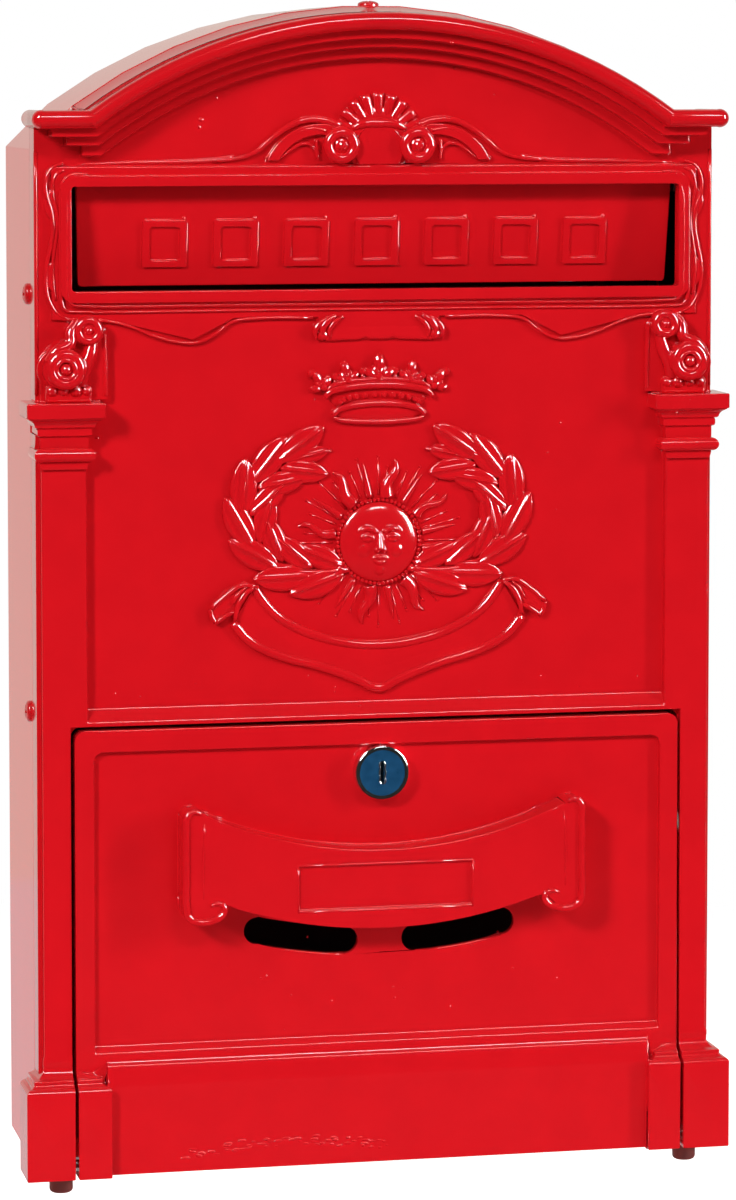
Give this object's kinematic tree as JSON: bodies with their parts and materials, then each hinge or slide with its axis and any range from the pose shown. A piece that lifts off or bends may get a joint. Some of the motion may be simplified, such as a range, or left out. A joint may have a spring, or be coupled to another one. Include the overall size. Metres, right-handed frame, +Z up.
{
  "type": "wall-mounted letter box",
  "caption": "Wall-hung letter box: ornate cast front with an arched cornice, folded sheet case, inward letter flap, bottom-hinged door with a cam lock.",
  "frame": {"origin": "centre of the four wall-screw holes, on the back face that lies against the wall", "axes": "+Y into the wall, +Z up, +X to the right when facing the front; the front faces -Y"},
  "size_m": [0.257, 0.0921, 0.4222],
  "materials": {
    "cast_red": "glossy red powder coat on die-cast aluminium",
    "sheet_red": "glossy red powder coat on folded sheet",
    "screw_red": "glossy red coat",
    "foot": "moulded, satin",
    "steel": "zinc plated",
    "chrome": "polished plating",
    "plug_blue": "dark blue metallic, glossy"
  },
  "bodies": {
    "box": {"front_casting": "cast_red", "body_wrap": "sheet_red", "back_plate": "sheet_red", "floor_tray": "sheet_red", "flap_rod": "steel", "flap_bracket_left": "steel", "flap_bracket_right": "steel", "bracket_screws": "steel", "rod_clips": "steel", "hinge_pin_left": "steel", "hinge_pin_right": "steel", "foot_left": "foot", "foot_right": "foot", "side_screws": "screw_red", "roof_screw": "screw_red"},
    "flap": {"letter_flap": "cast_red"},
    "door": {"door_panel": "cast_red", "lock_housing": "chrome", "lock_washer": "steel", "lock_nut": "steel"},
    "lock": {"lock_plug": "plug_blue", "lock_cam": "steel", "cam_screw": "steel"}
  },
  "joints": [
    {"name": "flap_swing", "type": "hinge", "parent": "box", "child": "flap", "pos_m": [0, -0.068, 0.1532], "axis": [1, 0, 0], "range_deg": [-6, 64]},
    {"name": "door_swing", "type": "hinge", "parent": "box", "child": "door", "pos_m": [0, -0.082, -0.195], "axis": [1, 0, 0], "range_deg": [0, 110]},
    {"name": "lock_turn", "type": "hinge", "parent": "door", "child": "lock", "pos_m": [0, -0.076, -0.059], "axis": [0, 1, 0], "range_deg": [0, 90]}
  ]
}
